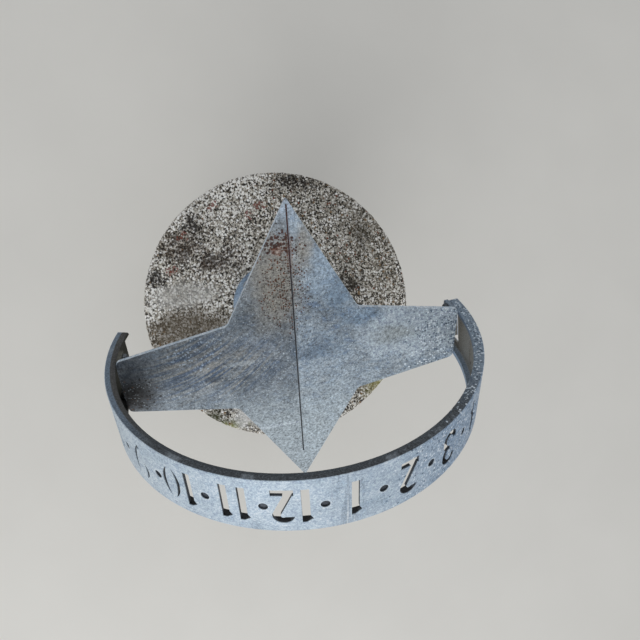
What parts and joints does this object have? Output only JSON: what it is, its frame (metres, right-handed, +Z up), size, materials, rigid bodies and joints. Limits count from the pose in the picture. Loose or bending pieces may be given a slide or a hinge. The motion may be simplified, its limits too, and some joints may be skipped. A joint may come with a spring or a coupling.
{
  "type": "pedestal sundial",
  "caption": "Sundial on a round stone pedestal: half hour ring with cut-through numerals 6 to 7 round a pointed star plate, on a tilting and swivelling steel foot",
  "frame": {"origin": "centre of the plinth's flat underside, on the ground", "axes": "+Z up; +X to the dial's afternoon side along the star's arms; +Y horizontal, to the side that the star's upper point leans to"},
  "size_m": [0.3133, 0.3255, 0.6539],
  "materials": {
    "cast_stone": "matte",
    "mortar": "matte",
    "galvanised_steel": "matte",
    "zinc_fasteners": "satin",
    "plain_steel": "matte",
    "bronze": "satin",
    "fibre": "matte"
  },
  "bodies": {
    "root": {"plinth": "cast_stone", "lower_bed": "mortar", "shaft": "cast_stone", "upper_bed": "mortar", "cap": "cast_stone", "dowels": "plain_steel", "foot_flange": "galvanised_steel", "anchor_studs": "zinc_fasteners", "anchor_washers": "zinc_fasteners", "anchor_nuts": "zinc_fasteners", "set_screws": "plain_steel", "thrust_washer": "bronze"},
    "swivel": {"stem": "galvanised_steel", "fork": "galvanised_steel", "cross_pin": "plain_steel", "pivot_bolt": "zinc_fasteners", "pivot_washers": "zinc_fasteners", "pivot_nut": "zinc_fasteners", "friction_discs": "fibre"},
    "dial": {"tilt_strut": "galvanised_steel", "pad_washers": "zinc_fasteners", "pad_nuts": "zinc_fasteners", "star_plate": "galvanised_steel", "plate_studs": "zinc_fasteners", "hour_ring": "galvanised_steel", "morning_cleat": "galvanised_steel", "evening_cleat": "galvanised_steel", "cleat_washers": "zinc_fasteners", "cleat_nuts": "zinc_fasteners", "ring_screws": "zinc_fasteners", "ring_nuts": "zinc_fasteners"}
  },
  "joints": [
    {"name": "azimuth_turn", "type": "hinge", "parent": "root", "child": "swivel", "pos_m": [-0.0083, 0, 0.385], "axis": [0, 0, 1], "continuous": true},
    {"name": "latitude_tilt", "type": "hinge", "parent": "swivel", "child": "dial", "pos_m": [-0.0083, 0, 0.433], "axis": [1, 0, 0], "range_deg": [-20, 20]}
  ]
}
